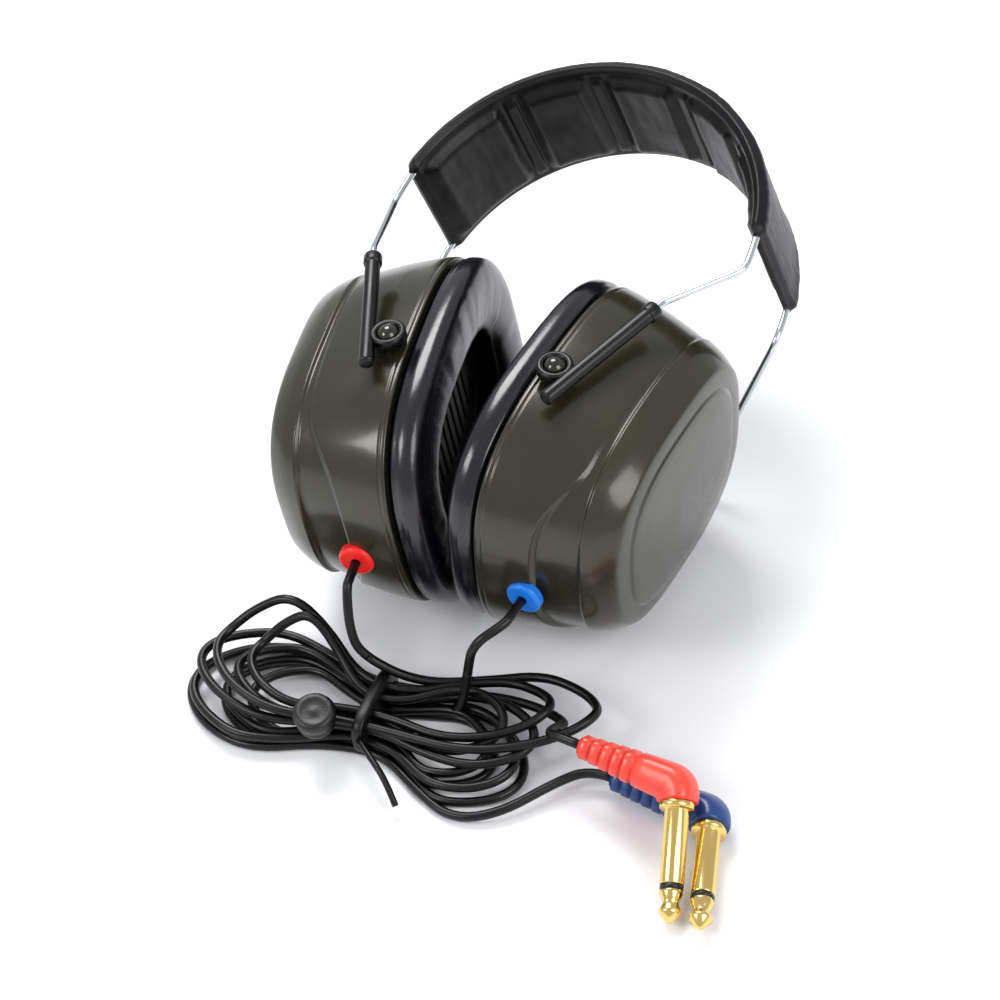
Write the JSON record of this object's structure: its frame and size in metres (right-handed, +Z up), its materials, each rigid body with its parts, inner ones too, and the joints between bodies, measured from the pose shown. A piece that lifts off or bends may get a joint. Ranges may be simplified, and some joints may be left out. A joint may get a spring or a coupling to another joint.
{
  "type": "over-head muff headphones",
  "caption": "Over-head headset with two deep oval cups, ring cushions, padded spring-wire headband, corded right-angle phone plugs and a tied cord hank.",
  "frame": {"origin": "table under the middle of the headset's own bounding box, cords and plugs left out", "axes": "+Y from the cups towards the headband's crown, +Z up from the table the headset lies on, +X towards the right cup"},
  "size_m": [0.1682, 0.2233, 0.1027],
  "materials": {
    "shell_plastic": "dark olive moulded plastic, low sheen",
    "cushion_vinyl": "glossy black vinyl skin",
    "inner_plastic": "fine satin moulding",
    "cone_paper": "pressed paper",
    "magnet_steel": "plated",
    "liner_foam": "open cell foam",
    "pivot_plastic": "polished",
    "guide_plastic": "satin black moulding",
    "wire_steel": "bright drawn spring wire",
    "band_leatherette": "grained black leatherette",
    "red_rubber": "smooth",
    "blue_rubber": "smooth",
    "red_plastic": "semi gloss moulded",
    "blue_plastic": "semi gloss moulded",
    "plug_brass": "polished gold plated",
    "insulator_plastic": "plain",
    "clip_plastic": "fine grained",
    "cord_rubber": "smooth black sheath"
  },
  "bodies": {
    "band_left": {"strap_left": "band_leatherette", "band_pad_end_left": "band_leatherette", "band_pad_side_left": "band_leatherette", "band_pad_crown_left": "band_leatherette", "band_ribs_left": "band_leatherette", "band_end_cap_left": "guide_plastic", "spring_wire_front_left": "wire_steel", "spring_wire_rear_left": "wire_steel", "cord_hank": "cord_rubber", "cord_tie": "cord_rubber", "cord_clip": "clip_plastic", "cord_lead_right": "cord_rubber", "cord_lead_left": "cord_rubber", "plug_body_left": "red_plastic", "plug_sleeve_left": "plug_brass", "plug_insulator_left": "insulator_plastic", "plug_tip_left": "plug_brass", "cord_tail_left": "cord_rubber", "plug_body_right": "blue_plastic", "plug_sleeve_right": "plug_brass", "plug_insulator_right": "insulator_plastic", "plug_tip_right": "plug_brass", "cord_tail_right": "cord_rubber"},
    "band_right": {"strap_right": "band_leatherette", "band_pad_end_right": "band_leatherette", "band_pad_side_right": "band_leatherette", "band_pad_crown_right": "band_leatherette", "band_ribs_right": "band_leatherette", "band_end_cap_right": "guide_plastic", "spring_wire_front_right": "wire_steel", "spring_wire_rear_right": "wire_steel"},
    "front_guide_left": {"front_guide_left": "guide_plastic"},
    "rear_guide_left": {"rear_guide_left": "guide_plastic"},
    "front_guide_right": {"front_guide_right": "guide_plastic"},
    "rear_guide_right": {"rear_guide_right": "guide_plastic"},
    "cup_left": {"shell_left": "shell_plastic", "face_panel_left": "shell_plastic", "rim_plate_left": "inner_plastic", "cushion_left": "cushion_vinyl", "grille_left": "inner_plastic", "driver_frame_left": "inner_plastic", "driver_cone_left": "cone_paper", "driver_magnet_left": "magnet_steel", "foam_liner_left": "liner_foam", "pivot_balls_left": "pivot_plastic", "grommet_left": "red_rubber", "cord_clamp_left": "inner_plastic"},
    "cup_right": {"shell_right": "shell_plastic", "face_panel_right": "shell_plastic", "rim_plate_right": "inner_plastic", "cushion_right": "cushion_vinyl", "grille_right": "inner_plastic", "driver_frame_right": "inner_plastic", "driver_cone_right": "cone_paper", "driver_magnet_right": "magnet_steel", "foam_liner_right": "liner_foam", "pivot_balls_right": "pivot_plastic", "grommet_right": "blue_rubber", "cord_clamp_right": "inner_plastic"}
  },
  "joints": [
    {"name": "band_flex", "type": "hinge", "parent": "band_left", "child": "band_right", "pos_m": [0.00727, 0.07385, 0.08243], "axis": [-0.1083, -0.2711, 0.9564], "range_deg": [0, 45], "stiffness_Nm_per_rad": 1.8},
    {"name": "left_height", "type": "slide", "parent": "band_left", "child": "front_guide_left", "axis": [0.3635, -0.9316, 0.0053], "range_m": [0, 0.016], "deforming": ["cushion_left", "cord_lead_left"]},
    {"name": "left_rear_height", "type": "slide", "parent": "band_left", "child": "rear_guide_left", "axis": [0.3635, -0.9316, 0.0053], "range_m": [0, 0.016]},
    {"name": "left_tilt", "type": "hinge", "parent": "front_guide_left", "child": "cup_left", "pos_m": [-0.02477, -0.04018, 0.04507], "axis": [0.0677, 0.0207, -0.9975], "range_deg": [0, 12]},
    {"name": "right_height", "type": "slide", "parent": "band_right", "child": "front_guide_right", "axis": [-0.3635, -0.9316, 0.0053], "range_m": [0, 0.016], "deforming": ["cushion_right", "cord_lead_right"]},
    {"name": "right_rear_height", "type": "slide", "parent": "band_right", "child": "rear_guide_right", "axis": [-0.3635, -0.9316, 0.0053], "range_m": [0, 0.016]},
    {"name": "right_tilt", "type": "hinge", "parent": "front_guide_right", "child": "cup_right", "pos_m": [0.01703, -0.04018, 0.04507], "axis": [0.0677, -0.0207, 0.9975], "range_deg": [0, 12]}
  ],
  "couplings": [
    {"joint": "left_rear_height", "follows": "left_height", "ratio": 1},
    {"joint": "right_rear_height", "follows": "right_height", "ratio": 1}
  ]
}
